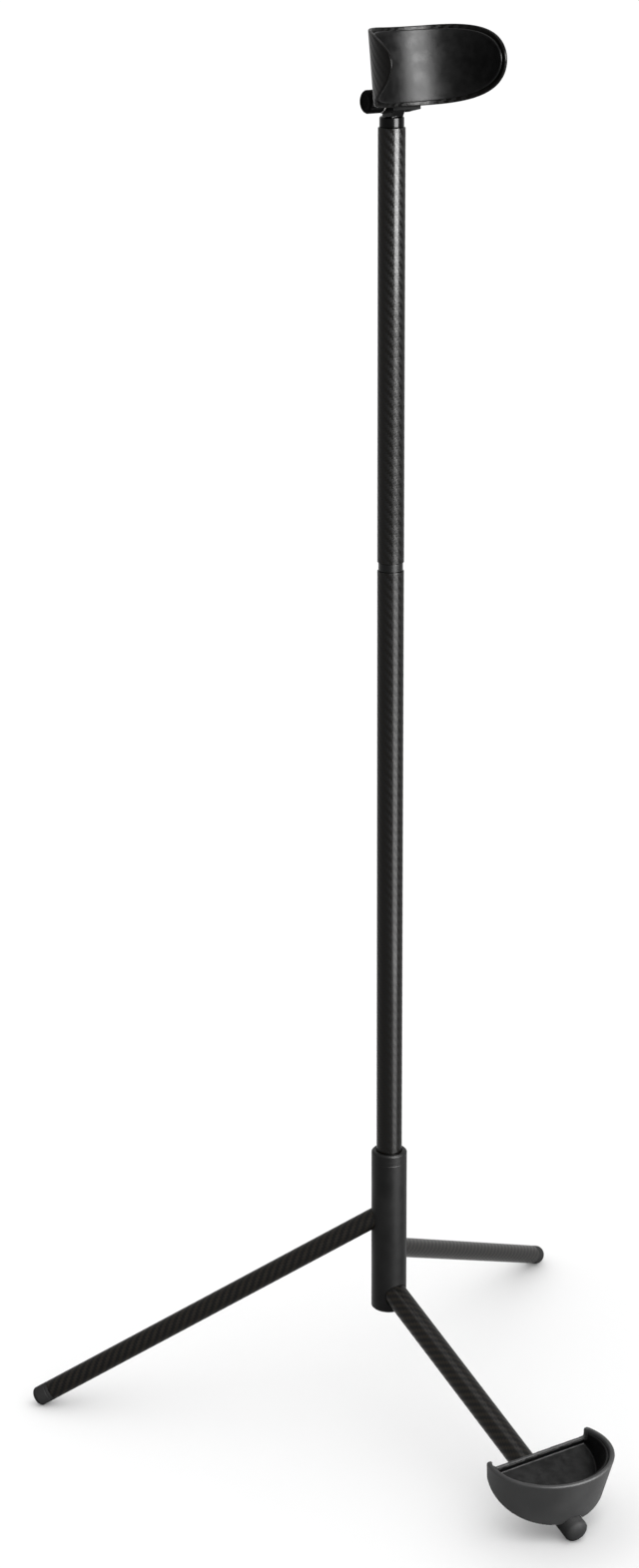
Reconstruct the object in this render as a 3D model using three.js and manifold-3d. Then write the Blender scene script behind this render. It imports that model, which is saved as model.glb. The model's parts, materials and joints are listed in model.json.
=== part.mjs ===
// Take-apart tripod stand for a saxophone: a round hub takes three push-in legs and a two-piece
// mast, a padded C-shaped cradle tilts on top of the mast, and a half-moon cup sits on the front leg.
// Millimetres, +Z up. The front leg and its cup point towards -Y, and the feet stand on z = 0.
import * as THREE from 'three';
import { mergeVertices } from 'three/addons/utils/BufferGeometryUtils.js';
import { ConvexGeometry } from 'three/addons/geometries/ConvexGeometry.js';
import Module from 'manifold-3d';

const wasm = await Module();
wasm.setup();

// ---- driving dimensions ----
const GAP = 0.3;                      // clearance between neighbouring pieces
const MAST_RADIUS = 9;
const TUBE_WALL = 1;
const MAST_SEAT = 165.5;              // height at which the lower tube stands in the hub
const JOINT_BOTTOM = 620;             // end of the lower tube
const JOINT_TOP = 626;                // start of the upper tube
const MAST_TOP = 913;
const SPIGOT_LENGTH = 50;             // push-fit length of the ferrule in the upper tube
const BONDED_LENGTH = 40;             // length of the ferrule glued in the lower tube
const FERRULE_BORE = 5;
const FERRULE_INSET = 0.7;            // how far the ferrule's ring stands back from the tubes' surface
const STEM_LENGTH = 40;               // push-fit length of the neck in the upper tube

const HUB_RADIUS = 12.6;
const HUB_BOTTOM = 74.5;
const HUB_TOP = 197.2;
const HUB_CHAMFER = 1.2;
const HUB_RING_DEPTH = 8;             // distance of the mast's ring below the hub's top
const SOCKET_OVERRUN = 8;             // how far a leg reaches past the mast axis inside the hub
const SOCKET_RING_AT = 2;             // distance of a socket's ring from the mast axis

const REAR_LEG_RADIUS = 7;
const FRONT_LEG_RADIUS = 8.5;
const REAR_REACH = 253.5;             // mast axis to the centre of the foot's round end
const FRONT_REACH = 232.5;
const REAR_FOOT_Z = 6;                // height of that centre, a little less than the round end reaches
const FRONT_FOOT_Z = 7.7;
const FOOT_HEAD = 9;                  // straight part of a foot cap outside its tube
const FOOT_DOME = 0.58;               // length of the round end, as a part of the leg's radius
const FOOT_SPIGOT = 14;

const ORING_SECTION = 0.45;           // radius of the ring's own section
const GROOVE_DEPTH = 1.2;
const GROOVE_HALF = 0.8;
const FERRULE_RINGS = [JOINT_TOP + 14, JOINT_TOP + 38];
const NECK_RINGS = [MAST_TOP - 28, MAST_TOP - 10];

const HINGE_Y = -4;                   // tilt hinge, forward of the mast axis
const HINGE_Z = 930.5;
const CRADLE_TILT = THREE.MathUtils.degToRad(8.3);
const BOLT_RADIUS = 3;
const BARREL_RADIUS = 8.1;            // visible part of the neck above the mast
const BARREL_TOP = 920.3;
const TONGUE_HALF = 4.5;
const TONGUE_RADIUS = 7.4;
const WASHER_RADIUS = 7.2;
const WASHER_THICKNESS = 0.8;
const EAR_OUTER = 10.4;
const EAR_RADIUS = 8;
const EAR_INNER = TONGUE_HALF + WASHER_THICKNESS + 2 * GAP;
const PAD_THICKNESS = 4;              // bracket pad behind the band
const PAD_BOTTOM = -7;                // below and above the hinge, along the band's axis
const PAD_TOP = 18.5;
const NUT_FLATS = 10;
const NUT_START = 7.2;
const NUT_END = 10.2;
const KNOB_START = -(EAR_OUTER + WASHER_THICKNESS + 2 * GAP);
const KNOB_END = -23;
const KNOB_RADIUS = 7.5;
const KNOB_FLUTES = 10;
const SCREW_X = 7.4;                  // the two screws that hold the band to its bracket
const SCREW_Z = 12.5;
const SCREW_RADIUS = 1.5;
const SCREW_HEAD_RADIUS = 2.9;
const SCREW_LENGTH = 8.5;
const SCREW_RECESS = 0.75;            // depth of the head below the band's inner face

const BAND_RADIUS = 44.5;             // outside of the cradle band
const BAND_WALL = 2.2;
const BAND_HALF_HEIGHT = 25.2;
const BAND_Y = -57.1;                 // band axis, forward of the hinge
const BAND_Z = 20;                    // band centre, above the hinge
const TIP_REACH = 9.4;                // how far the tips reach forward of the band axis
const TIP_LENGTH = 50;                // length over which the band narrows to its tip
const TIP_CURVE = 1.08;               // 1 gives half an ellipse, more gives a slimmer tip
const LINING = 1.6;                   // thickness of both linings
const LINING_MARGIN = 2.4;            // width of bare edge around a lining

const CUP_RIM_Z = 51.5;
const CUP_WALL = 3;
const CUP_LIP_Z = 44.5;               // low back edge between the horns
const CUP_RIM = { middle: 202, front: 245.5, halfWidth: 43.8, backZ: CUP_RIM_Z, frontZ: CUP_RIM_Z };
const CUP_BASE = { middle: 196, front: 229.5, halfWidth: 42.2, backZ: 38, frontZ: 12.5 };
const CUP_CURL = 0.35;                // how far the outline curls in past its widest point, in radians
const CUP_SIDE = 0.9;                 // middle of the cup, to the right of the front leg
const CUP_ROLL = THREE.MathUtils.degToRad(2.6);   // the cup sits turned a little about the front leg
const SLEEVE_WALL = 2.4;              // wall of the cup's sleeve around the front leg
const SLEEVE_START = 188;
const SLEEVE_END = 211;
const SET_SCREW_AT = 196;
const SET_SCREW_RADIUS = 2;

const MAST_SEGMENTS = 36;
const LEG_SEGMENTS = 24;
const RING_SEGMENTS = 18;
const BAND_SEGMENTS = 32;
const TIP_STEPS = 9;
const CUP_SEGMENTS = 22;

const rear = { radius: REAR_LEG_RADIUS, reach: REAR_REACH, footZ: REAR_FOOT_Z };
const front = { radius: FRONT_LEG_RADIUS, reach: FRONT_REACH, footZ: FRONT_FOOT_Z };
const legs = [
  { ...rear, name: 'left', azimuth: 150, socketZ: 150.3 },
  { ...rear, name: 'right', azimuth: 30, socketZ: 121.2 },
  { ...front, name: 'front', azimuth: -90, socketZ: 90.8 },
];
for (const leg of legs) {
  leg.slope = Math.atan2(leg.socketZ - leg.footZ, leg.reach);
  leg.length = Math.hypot(leg.socketZ - leg.footZ, leg.reach);
}
const frontLeg = legs[2];

// ---- materials ----
function finish(color, roughness, metalness) {
  return new THREE.MeshStandardMaterial({ color, roughness, metalness });
}
const carbon = finish(0x17130f, 0.25, 0.0);
const hubBlack = finish(0x1c1b1a, 0.5, 0.3);
const mouldedBlack = finish(0x141414, 0.55, 0.0);
const cupGrey = finish(0x38363a, 0.6, 0.0);
const liningBlack = finish(0x1d1c1e, 0.5, 0.0);
const rubber = finish(0x0f0f0f, 0.8, 0.0);
const steel = finish(0x9a9a98, 0.35, 1.0);
const nylon = finish(0x2a2a2a, 0.6, 0.0);

// ---- solids and placing ----
function toSolid(geometry, matrix = new THREE.Matrix4()) {
  const bare = (geometry.index ? geometry.toNonIndexed() : geometry.clone()).applyMatrix4(matrix);
  bare.deleteAttribute('normal');
  bare.deleteAttribute('uv');
  const merged = mergeVertices(bare, 1e-4);
  const corners = merged.index.array;
  const kept = [];
  for (let i = 0; i < corners.length; i += 3) {
    const [a, b, c] = [corners[i], corners[i + 1], corners[i + 2]];
    if (a !== b && b !== c && c !== a) kept.push(a, b, c);
  }
  return new wasm.Manifold(new wasm.Mesh({
    numProp: 3,
    vertProperties: new Float32Array(merged.attributes.position.array),
    triVerts: new Uint32Array(kept),
  }));
}

function toGeometry(solid) {
  const mesh = solid.getMesh();
  const geometry = new THREE.BufferGeometry();
  geometry.setAttribute('position', new THREE.BufferAttribute(mesh.vertProperties, 3));
  geometry.setIndex(new THREE.BufferAttribute(mesh.triVerts, 1));
  geometry.computeVertexNormals();
  return geometry;
}

function piece(group, name, geometry, material) {
  const mesh = new THREE.Mesh(geometry, material);
  mesh.name = name;
  group.add(mesh);
  return mesh;
}

// A turned solid: the profile is [radius, position along the axis] pairs, and the axis is Z or X.
function turned(profile, segments, axis = 'z') {
  const geometry = new THREE.LatheGeometry(profile.map(([r, t]) => new THREE.Vector2(r, t)), segments);
  return axis === 'z' ? geometry.rotateX(Math.PI / 2) : geometry.rotateZ(-Math.PI / 2);
}

function rod(radius, start, end, segments, axis) {
  return turned([[0, start], [radius, start], [radius, end], [0, end]], segments, axis);
}

function tube(inner, outer, start, end, segments, axis) {
  const profile = [[inner, start], [outer, start], [outer, end], [inner, end], [inner, start]];
  return turned(profile, segments, axis);
}

// A flat outline in the YZ plane, pushed out along X.
function sideExtrude(shape, startX, endX, curveSegments = 12) {
  const options = { depth: endX - startX, bevelEnabled: false, curveSegments };
  const turn = new THREE.Matrix4().makeBasis(
    new THREE.Vector3(0, 1, 0), new THREE.Vector3(0, 0, 1), new THREE.Vector3(1, 0, 0));
  return new THREE.ExtrudeGeometry(shape, options).applyMatrix4(turn).translate(startX, 0, 0);
}

// A ring-shaped sector in the XY plane, symmetric about +Y, pushed up along Z from -half to +half.
function bandExtrude(inner, outer, halfAngle, half, centreY) {
  const shape = new THREE.Shape();
  shape.absarc(0, 0, outer, Math.PI / 2 - halfAngle, Math.PI / 2 + halfAngle, false);
  shape.absarc(0, 0, inner, Math.PI / 2 + halfAngle, Math.PI / 2 - halfAngle, true);
  shape.closePath();
  const options = { depth: 2 * half, bevelEnabled: false, curveSegments: BAND_SEGMENTS };
  return new THREE.ExtrudeGeometry(shape, options).translate(0, centreY, -half);
}

function oRing(surfaceRadius, axis) {
  const centre = surfaceRadius + GAP + ORING_SECTION;
  const ring = new THREE.TorusGeometry(centre, ORING_SECTION, 5, RING_SEGMENTS);
  return axis === 'x' ? ring.rotateY(Math.PI / 2) : ring;
}

// Profile points of a groove cut in to, or out to, floorRadius from the surface, met in rising order.
function groove(surfaceRadius, floorRadius, centre, rising = true) {
  const side = rising ? GROOVE_HALF : -GROOVE_HALF;
  return [
    [surfaceRadius, centre - side], [floorRadius, centre - side],
    [floorRadius, centre + side], [surfaceRadius, centre + side],
  ];
}

// ---- hub ----
const hubRingZ = HUB_TOP - HUB_RING_DEPTH;
const hubRingFloor = MAST_RADIUS + 2 * (GAP + ORING_SECTION);

function legMatrix(leg) {
  const azimuth = THREE.MathUtils.degToRad(leg.azimuth);
  const turn = new THREE.Euler(0, leg.slope, azimuth, 'ZYX');
  return new THREE.Matrix4().makeRotationFromEuler(turn).setPosition(0, 0, leg.socketZ);
}

// The hole that a leg pushes into, with the groove of its ring.
function socketHole(leg) {
  const bore = leg.radius + GAP;
  const floor = leg.radius + 2 * (GAP + ORING_SECTION);
  const bottom = -SOCKET_OVERRUN - GAP;
  const ringGroove = groove(bore, floor, SOCKET_RING_AT);
  const profile = [[0, bottom], [bore, bottom], ...ringGroove, [bore, 40], [0, 40]];
  return toSolid(turned(profile, LEG_SEGMENTS, 'x'), legMatrix(leg));
}

function hubBody() {
  const bore = MAST_RADIUS + GAP;
  const profile = [
    [0, HUB_BOTTOM], [HUB_RADIUS - HUB_CHAMFER, HUB_BOTTOM], [HUB_RADIUS, HUB_BOTTOM + HUB_CHAMFER],
    [HUB_RADIUS, HUB_TOP - HUB_CHAMFER], [HUB_RADIUS - HUB_CHAMFER, HUB_TOP], [bore, HUB_TOP],
    ...groove(bore, hubRingFloor, hubRingZ, false), [bore, MAST_SEAT - GAP], [0, MAST_SEAT - GAP],
  ];
  let body = toSolid(turned(profile, MAST_SEGMENTS));
  for (const leg of legs) body = body.subtract(socketHole(leg));
  return toGeometry(body);
}

// ---- legs ----
// In a leg's own frame X runs outwards and down along the leg, from the mast axis to the foot.
function legTube(leg) {
  const end = leg.length - FOOT_HEAD - GAP;
  return tube(leg.radius - TUBE_WALL, leg.radius, -SOCKET_OVERRUN, end, LEG_SEGMENTS, 'x');
}

function footCap(leg) {
  const shoulder = leg.length - FOOT_HEAD;
  const spigot = leg.radius - TUBE_WALL - GAP;
  const dome = leg.radius * FOOT_DOME;
  const profile = [[0, shoulder - FOOT_SPIGOT], [spigot, shoulder - FOOT_SPIGOT], [spigot, shoulder],
    [leg.radius, shoulder], [leg.radius, leg.length]];
  const steps = 5;
  for (let i = 1; i < steps; i++) {
    const angle = (Math.PI / 2) * (i / steps);
    profile.push([leg.radius * Math.cos(angle), leg.length + dome * Math.sin(angle)]);
  }
  profile.push([0, leg.length + dome]);
  const ground = new THREE.BoxGeometry(1200, 1200, 40).translate(0, 0, -20);
  const cap = toSolid(turned(profile, LEG_SEGMENTS, 'x'));
  return toGeometry(cap.subtract(toSolid(ground, legMatrix(leg).invert())));
}

// ---- mast ----
const spigotRadius = MAST_RADIUS - TUBE_WALL - GAP;
const spigotRingSeat = spigotRadius - GROOVE_DEPTH;

function ferrule() {
  const bottom = JOINT_BOTTOM - BONDED_LENGTH;
  const top = JOINT_TOP + SPIGOT_LENGTH;
  const ring = MAST_RADIUS - FERRULE_INSET;
  const profile = [
    [FERRULE_BORE, bottom], [spigotRadius, bottom], [spigotRadius, JOINT_BOTTOM + GAP],
    [ring, JOINT_BOTTOM + GAP], [ring, JOINT_TOP - GAP], [spigotRadius, JOINT_TOP - GAP],
  ];
  for (const z of FERRULE_RINGS) profile.push(...groove(spigotRadius, spigotRingSeat, z));
  profile.push([spigotRadius, top - 1], [spigotRadius - 1, top], [FERRULE_BORE, top], [FERRULE_BORE, bottom]);
  return turned(profile, LEG_SEGMENTS);
}

// ---- neck: a stem that plugs into the mast, with the hinge tongue on top ----
function neckStem() {
  const bottom = MAST_TOP - STEM_LENGTH;
  const profile = [[0, bottom], [spigotRadius - 1, bottom], [spigotRadius, bottom + 1]];
  for (const z of NECK_RINGS) profile.push(...groove(spigotRadius, spigotRingSeat, z));
  profile.push([spigotRadius, MAST_TOP + GAP], [BARREL_RADIUS, MAST_TOP + GAP],
    [BARREL_RADIUS, BARREL_TOP - 1], [BARREL_RADIUS - 1, BARREL_TOP], [0, BARREL_TOP]);
  const root = BARREL_TOP - 3;
  const tongue = new THREE.Shape();
  tongue.moveTo(-5, root);
  tongue.lineTo(5, root);
  tongue.absarc(HINGE_Y, HINGE_Z, TONGUE_RADIUS, 0.5, Math.PI + 0.45, false);
  tongue.closePath();
  const bolt = rod(BOLT_RADIUS + GAP, -20, 20, RING_SEGMENTS, 'x').translate(0, HINGE_Y, HINGE_Z);
  return toGeometry(toSolid(turned(profile, LEG_SEGMENTS))
    .add(toSolid(sideExtrude(tongue, -TONGUE_HALF, TONGUE_HALF)))
    .subtract(toSolid(bolt)));
}

// ---- cradle, in the hinge's own frame: the hinge is at the origin and -Y points into the opening ----
// Side outline of the band: full height at the back, narrowing in one curve to the round tip.
function bandSide(margin) {
  const tipY = BAND_Y - TIP_REACH + margin;
  const half = BAND_HALF_HEIGHT - margin;
  const backY = BAND_Y + BAND_RADIUS + 4;
  const shape = new THREE.Shape();
  shape.moveTo(backY, -half);
  for (let i = -TIP_STEPS; i <= TIP_STEPS; i++) {
    const angle = (Math.PI / 2) * (i / TIP_STEPS);
    const back = 1 - Math.cos(angle) ** TIP_CURVE;
    const up = Math.sign(i) * Math.abs(Math.sin(angle)) ** TIP_CURVE;
    shape.lineTo(tipY + TIP_LENGTH * back, half * up);
  }
  shape.lineTo(backY, half);
  shape.closePath();
  return sideExtrude(shape, -60, 60);
}

function bandSolid(inner, outer, margin) {
  const ring = bandExtrude(inner, outer, THREE.MathUtils.degToRad(118), BAND_HALF_HEIGHT + 2, BAND_Y);
  return toSolid(ring).intersect(toSolid(bandSide(margin))).translate([0, 0, BAND_Z]);
}

function cradleShell() {
  let shell = bandSolid(BAND_RADIUS - BAND_WALL, BAND_RADIUS, 0);
  for (const side of [-1, 1]) shell = shell.subtract(screwHole(side));
  return toGeometry(shell);
}

function cradleLining() {
  const outer = BAND_RADIUS - BAND_WALL - GAP;
  return toGeometry(bandSolid(outer - LINING, outer, LINING_MARGIN));
}

// The two screws run straight back from the band into the bracket. Y of the shell's face there:
const screwFaceY = BAND_Y + Math.sqrt((BAND_RADIUS - BAND_WALL) ** 2 - SCREW_X ** 2);
const screwHeadY = screwFaceY + SCREW_RECESS;

function screwBody(extra) {
  const tip = screwHeadY + SCREW_LENGTH + extra;
  const cone = SCREW_HEAD_RADIUS - SCREW_RADIUS;
  const profile = [[0, screwHeadY], [SCREW_HEAD_RADIUS + extra, screwHeadY],
    [SCREW_RADIUS + extra, screwHeadY + cone + extra], [SCREW_RADIUS + extra, tip], [0, tip]];
  return turned(profile, 16).rotateX(-Math.PI / 2);
}

function screwHole(side) {
  const mouth = rod(SCREW_HEAD_RADIUS + GAP, screwFaceY - 4, screwHeadY + 0.01, 16).rotateX(-Math.PI / 2);
  return toSolid(mouth).add(toSolid(screwBody(GAP))).translate([side * SCREW_X, 0, SCREW_Z]);
}

const hexRadius = (acrossFlats) => acrossFlats / Math.sqrt(3);

function cradleBracket() {
  const face = BAND_RADIUS + GAP;
  const padHalf = Math.asin(EAR_OUTER / face);
  const pad = bandExtrude(face, face + PAD_THICKNESS, padHalf, (PAD_TOP - PAD_BOTTOM) / 2, BAND_Y)
    .translate(0, 0, (PAD_TOP + PAD_BOTTOM) / 2);
  const ear = new THREE.Shape();
  ear.moveTo(-18, PAD_BOTTOM);
  ear.lineTo(-13, PAD_BOTTOM);
  ear.lineTo(-2, -EAR_RADIUS * 0.97);
  ear.absarc(0, 0, EAR_RADIUS, -Math.PI / 2, Math.PI / 2 - 0.5, false);
  ear.lineTo(-8, PAD_TOP);
  ear.lineTo(-18, PAD_TOP);
  ear.closePath();
  const bandCore = toSolid(rod(face, -60, 80, 80)).translate([0, BAND_Y, 0]);
  const pocketRadius = hexRadius(NUT_FLATS + 2 * GAP);
  const nutPocket = new THREE.CylinderGeometry(pocketRadius, pocketRadius, 10, 6)
    .rotateZ(Math.PI / 2).translate(NUT_START - GAP + 5, 0, 0);
  let bracket = toSolid(pad);
  for (const [start, end] of [[-EAR_OUTER, -EAR_INNER], [EAR_INNER, EAR_OUTER]]) {
    bracket = bracket.add(toSolid(sideExtrude(ear, start, end)).subtract(bandCore));
  }
  bracket = bracket.subtract(toSolid(rod(BOLT_RADIUS + GAP, -30, 30, RING_SEGMENTS, 'x')));
  bracket = bracket.subtract(toSolid(nutPocket));
  for (const side of [-1, 1]) bracket = bracket.subtract(screwHole(side));
  return toGeometry(bracket);
}

function tiltNut() {
  const length = NUT_END - NUT_START;
  const hex = new THREE.CylinderGeometry(hexRadius(NUT_FLATS), hexRadius(NUT_FLATS), length, 6)
    .rotateZ(Math.PI / 2).translate((NUT_START + NUT_END) / 2, 0, 0);
  return toGeometry(toSolid(hex).subtract(toSolid(rod(BOLT_RADIUS + GAP, 0, 30, RING_SEGMENTS, 'x'))));
}

// Round knob with shallow finger flutes and a blind hole for the stud.
function tiltKnob() {
  const edge = 1.2;
  const profile = [[0, KNOB_END], [KNOB_RADIUS - edge, KNOB_END], [KNOB_RADIUS, KNOB_END + edge],
    [KNOB_RADIUS, KNOB_START - 0.6], [KNOB_RADIUS - 0.6, KNOB_START], [0, KNOB_START]];
  let knob = toSolid(turned(profile, 30, 'x'));
  for (let i = 0; i < KNOB_FLUTES; i++) {
    const angle = (2 * Math.PI * i) / KNOB_FLUTES;
    const flute = rod(1.3, KNOB_END - 1, KNOB_START + 1, 10, 'x')
      .translate(0, (KNOB_RADIUS + 0.8) * Math.cos(angle), (KNOB_RADIUS + 0.8) * Math.sin(angle));
    knob = knob.subtract(toSolid(flute));
  }
  return toGeometry(knob.subtract(toSolid(
    rod(BOLT_RADIUS + GAP, KNOB_END + 1.5, KNOB_START + 1, RING_SEGMENTS, 'x'))));
}

// ---- cup ----
const backOf = (edge) => edge.middle - (edge.front - edge.middle) * Math.sin(CUP_CURL);
const hornWidth = CUP_RIM.halfWidth * Math.cos(CUP_CURL);

// Outline from horn to horn: an ellipse that curls in at both ends, its height running evenly
// from back to front. The straight line between the ends is the cup's back.
function cupOutline(edge, inset, rise) {
  const points = [];
  const back = backOf(edge);
  for (let i = 0; i <= CUP_SEGMENTS; i++) {
    const angle = (Math.PI + 2 * CUP_CURL) * (i / CUP_SEGMENTS) - CUP_CURL;
    const along = edge.middle + (edge.front - edge.middle - inset) * Math.sin(angle);
    const reach = Math.max(along, back + inset);
    const side = CUP_SIDE + (edge.halfWidth - inset) * Math.cos(angle);
    const z = edge.backZ + (edge.frontZ - edge.backZ) * ((reach - back) / (edge.front - back));
    points.push(new THREE.Vector3(side, -reach, z + rise));
  }
  return points;
}

// The hollow of the cup at a given wall thickness, carried straight up past the rim.
function cupHollow(inset) {
  return toSolid(new ConvexGeometry([
    ...cupOutline(CUP_RIM, inset, 12), ...cupOutline(CUP_RIM, inset, 0),
    ...cupOutline(CUP_BASE, inset, inset * 1.15)]));
}

// Everything above a height.
function aboveCut(z) {
  return toSolid(new THREE.BoxGeometry(200, 200, 60).translate(0, -CUP_RIM.middle, z + 30));
}

// Everything between the horns above the low back edge.
function backCut(halfWidth) {
  const height = 40;
  const box = new THREE.BoxGeometry(2 * halfWidth, 16, height);
  return toSolid(box.translate(CUP_SIDE, -backOf(CUP_RIM) + 3, CUP_LIP_Z + height / 2));
}

// A round bar along the front leg, between two distances from the mast axis.
function alongFrontLeg(radius, startReach, endReach) {
  const scale = 1 / Math.cos(frontLeg.slope);
  return toSolid(rod(radius, startReach * scale, endReach * scale, LEG_SEGMENTS, 'x'), legMatrix(frontLeg));
}

function setScrew(radius, clearance) {
  const seat = FRONT_LEG_RADIUS + 2 * GAP - clearance;
  const tip = FRONT_LEG_RADIUS + GAP + SLEEVE_WALL + 1.6 + clearance;
  const at = SET_SCREW_AT / Math.cos(frontLeg.slope);
  return rod(radius, -tip, -seat, 16, 'z').translate(at, 0, 0);
}

function cupShell() {
  const sleeve = FRONT_LEG_RADIUS + GAP + SLEEVE_WALL;
  const outer = toSolid(new ConvexGeometry([
    ...cupOutline(CUP_RIM, 0, -1), ...cupOutline(CUP_RIM, 1, 0),
    ...cupOutline(CUP_BASE, 0, 0), ...cupOutline(CUP_BASE, 2.5, -1.4)]));
  const saddle = alongFrontLeg(sleeve, SLEEVE_START, CUP_RIM.front).intersect(outer);
  const screwHoleSolid = toSolid(setScrew(SET_SCREW_RADIUS + GAP, 1), legMatrix(frontLeg));
  return toGeometry(outer
    .subtract(cupHollow(CUP_WALL))
    .subtract(backCut(hornWidth - CUP_WALL))
    .add(saddle)
    .add(alongFrontLeg(sleeve, SLEEVE_START, SLEEVE_END))
    .subtract(alongFrontLeg(FRONT_LEG_RADIUS + GAP, 150, 270))
    .subtract(screwHoleSolid));
}

function cupLining() {
  const sleeve = FRONT_LEG_RADIUS + 2 * GAP + SLEEVE_WALL;
  return toGeometry(cupHollow(CUP_WALL + GAP)
    .subtract(cupHollow(CUP_WALL + GAP + LINING))
    .subtract(aboveCut(CUP_RIM_Z - 2))
    .subtract(backCut(hornWidth - CUP_WALL))
    .subtract(alongFrontLeg(sleeve, 150, 270)));
}

// ---- assembly ----
const stand = new THREE.Group();

piece(stand, 'hub_body', hubBody(), hubBlack);
piece(stand, 'hub_o_ring', oRing(MAST_RADIUS), rubber).position.z = hubRingZ;

for (const leg of legs) {
  const legGroup = new THREE.Group();
  legGroup.applyMatrix4(legMatrix(leg));
  piece(legGroup, `${leg.name}_leg_tube`, legTube(leg), carbon);
  piece(legGroup, `${leg.name}_foot_cap`, footCap(leg), rubber);
  piece(legGroup, `${leg.name}_leg_o_ring`, oRing(leg.radius, 'x'), rubber).position.x = SOCKET_RING_AT;
  stand.add(legGroup);
}

// The cup, its lining and its set screw are all turned about the front leg's own axis.
const aboutFrontLeg = new THREE.Matrix4().makeRotationX(CUP_ROLL)
  .premultiply(legMatrix(frontLeg)).multiply(legMatrix(frontLeg).invert());
const cup = new THREE.Group();
cup.applyMatrix4(aboutFrontLeg);
piece(cup, 'cup_shell', cupShell(), cupGrey);
piece(cup, 'cup_lining', cupLining(), liningBlack);
const screwGeometry = setScrew(SET_SCREW_RADIUS, 0).applyMatrix4(legMatrix(frontLeg));
piece(cup, 'cup_set_screw', screwGeometry, steel);
stand.add(cup);

const mastBore = MAST_RADIUS - TUBE_WALL;
piece(stand, 'lower_mast_tube', tube(mastBore, MAST_RADIUS, MAST_SEAT, JOINT_BOTTOM, MAST_SEGMENTS), carbon);
piece(stand, 'upper_mast_tube', tube(mastBore, MAST_RADIUS, JOINT_TOP, MAST_TOP, MAST_SEGMENTS), carbon);
piece(stand, 'mast_ferrule', ferrule(), hubBlack);
piece(stand, 'neck_stem', neckStem(), hubBlack);
const spigotRings = { ferrule: FERRULE_RINGS, neck: NECK_RINGS };
for (const [owner, heights] of Object.entries(spigotRings)) {
  heights.forEach((z, i) => {
    piece(stand, `${owner}_o_ring_${i + 1}`, oRing(spigotRingSeat), rubber).position.z = z;
  });
}

const hinge = new THREE.Group();
hinge.position.set(0, HINGE_Y, HINGE_Z);
hinge.rotation.x = -CRADLE_TILT;
const washer = (start) => (
  tube(BOLT_RADIUS + GAP, WASHER_RADIUS, start, start + WASHER_THICKNESS, RING_SEGMENTS, 'x'));
piece(hinge, 'cradle_shell', cradleShell(), carbon);
piece(hinge, 'cradle_lining', cradleLining(), liningBlack);
piece(hinge, 'cradle_bracket', cradleBracket(), mouldedBlack);
piece(hinge, 'tilt_nut', tiltNut(), steel);
piece(hinge, 'tilt_stud', rod(BOLT_RADIUS, KNOB_END + 1.9, NUT_END - GAP, RING_SEGMENTS, 'x'), steel);
piece(hinge, 'tilt_knob', tiltKnob(), mouldedBlack);
piece(hinge, 'knob_washer', washer(-EAR_OUTER - GAP - WASHER_THICKNESS), steel);
piece(hinge, 'tilt_washer_left', washer(-TONGUE_HALF - GAP - WASHER_THICKNESS), nylon);
piece(hinge, 'tilt_washer_right', washer(TONGUE_HALF + GAP), nylon);
for (const [name, side] of [['cradle_screw_left', -1], ['cradle_screw_right', 1]]) {
  piece(hinge, name, screwBody(0), steel).position.set(side * SCREW_X, 0, SCREW_Z);
}
stand.add(hinge);

// The origin is on the ground, under the middle of the whole stand.
const middle = new THREE.Box3().setFromObject(stand, true).getCenter(new THREE.Vector3());
stand.position.y = -middle.y;

export default stand;
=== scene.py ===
import json
import math

import bmesh
import bpy
from mathutils import Matrix, Vector


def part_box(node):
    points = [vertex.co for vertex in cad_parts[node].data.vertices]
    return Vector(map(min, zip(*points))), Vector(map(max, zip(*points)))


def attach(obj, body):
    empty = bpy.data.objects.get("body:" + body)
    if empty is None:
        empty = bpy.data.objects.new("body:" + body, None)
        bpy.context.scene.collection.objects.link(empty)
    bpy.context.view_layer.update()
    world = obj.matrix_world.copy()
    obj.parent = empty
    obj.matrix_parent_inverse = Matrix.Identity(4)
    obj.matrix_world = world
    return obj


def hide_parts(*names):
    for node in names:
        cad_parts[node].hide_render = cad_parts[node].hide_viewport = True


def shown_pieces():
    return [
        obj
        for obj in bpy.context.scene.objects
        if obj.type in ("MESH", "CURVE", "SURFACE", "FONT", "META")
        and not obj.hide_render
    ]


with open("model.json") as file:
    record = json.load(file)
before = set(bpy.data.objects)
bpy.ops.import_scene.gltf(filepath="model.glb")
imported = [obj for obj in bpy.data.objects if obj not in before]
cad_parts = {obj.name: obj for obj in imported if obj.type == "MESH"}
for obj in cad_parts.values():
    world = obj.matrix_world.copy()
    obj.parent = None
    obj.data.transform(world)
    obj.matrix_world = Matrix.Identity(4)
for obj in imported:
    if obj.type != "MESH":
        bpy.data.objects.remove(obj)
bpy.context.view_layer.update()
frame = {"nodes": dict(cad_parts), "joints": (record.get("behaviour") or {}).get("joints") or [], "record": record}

# Everything is in metres in the part's own frame: +Z up, the front leg and its cup towards -Y.
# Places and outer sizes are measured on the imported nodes. The sizes named below are those that a
# node's corners don't give, and the fine detail that only shows here.
MM = 0.001
UV = "millimetres"  # UV maps hold millimetres, so a weave keeps its real size

SEGMENTS = 96  # around a turned piece
EDGE = 0.25 * MM  # a lightly broken edge
GAP = 0.3 * MM  # clearance between neighbouring pieces

TOW = 1.65  # width of one carbon tow, in millimetres
WEAVE = 4 * TOW  # a 2x2 twill repeats every four tows

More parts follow.
